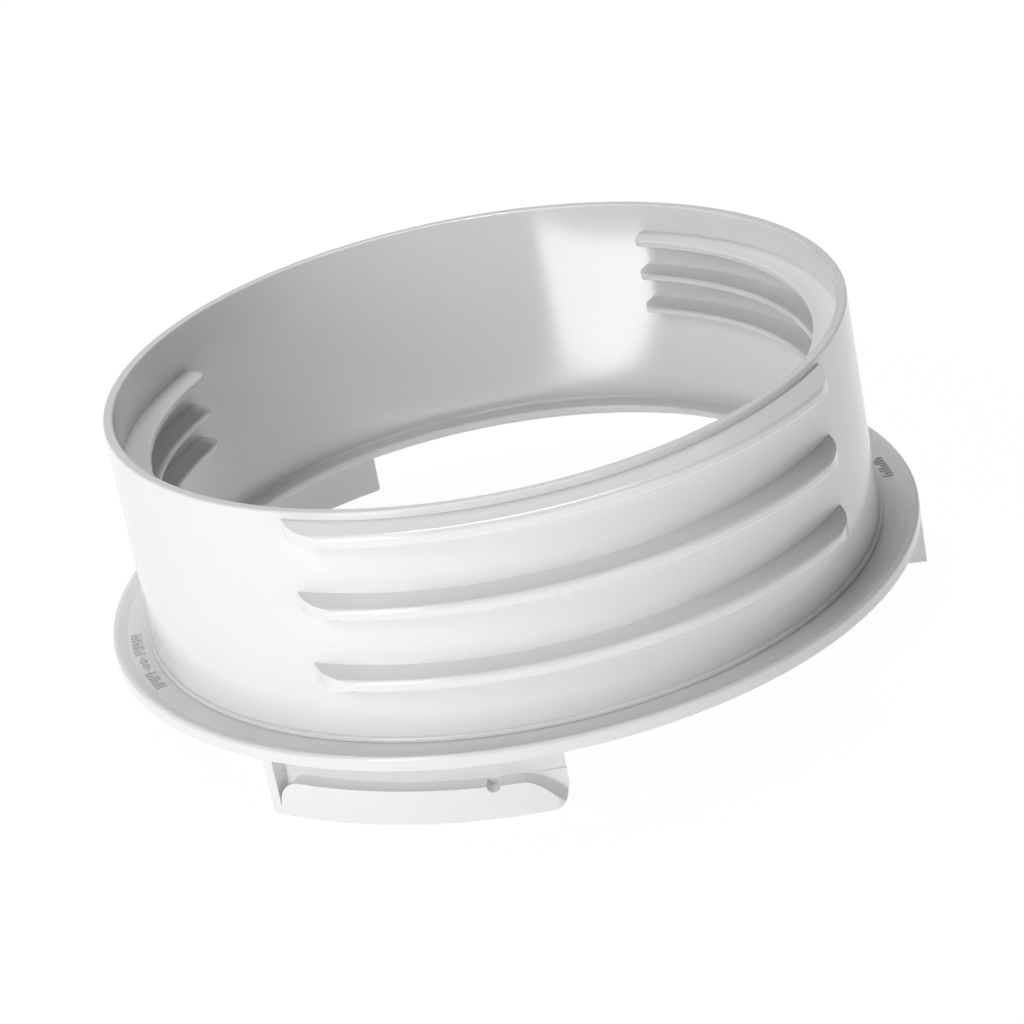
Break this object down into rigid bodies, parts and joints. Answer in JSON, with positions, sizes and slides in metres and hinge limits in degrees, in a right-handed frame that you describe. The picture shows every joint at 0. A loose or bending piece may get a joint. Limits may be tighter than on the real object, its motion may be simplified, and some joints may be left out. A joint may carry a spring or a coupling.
{
  "type": "swivelling hose collar with bayonet flange",
  "caption": "Round white moulded hose collar with interrupted ribs that swivels in a flange with bayonet lugs, for a ventilator duct.",
  "frame": {"origin": "on the axis of the collar, in the plane of the lower ends of the bayonet lugs", "axes": "+Z along the collar's axis, from the bayonet lugs up to the rim; +X to the right as seen from the front, where the outer ribs are; +Y away from the viewer"},
  "size_m": [0.156, 0.156, 0.0565],
  "materials": {
    "white_plastic": "gloss",
    "ring_plastic": "satin"
  },
  "bodies": {
    "flange": {"bayonet_base": "white_plastic"},
    "collar": {"hose_collar": "white_plastic", "retaining_ring": "ring_plastic"}
  },
  "joints": [
    {"name": "collar_swivel", "type": "hinge", "parent": "flange", "child": "collar", "pos_m": [0, 0, 0.01085], "axis": [0, 0, 1], "continuous": true}
  ]
}
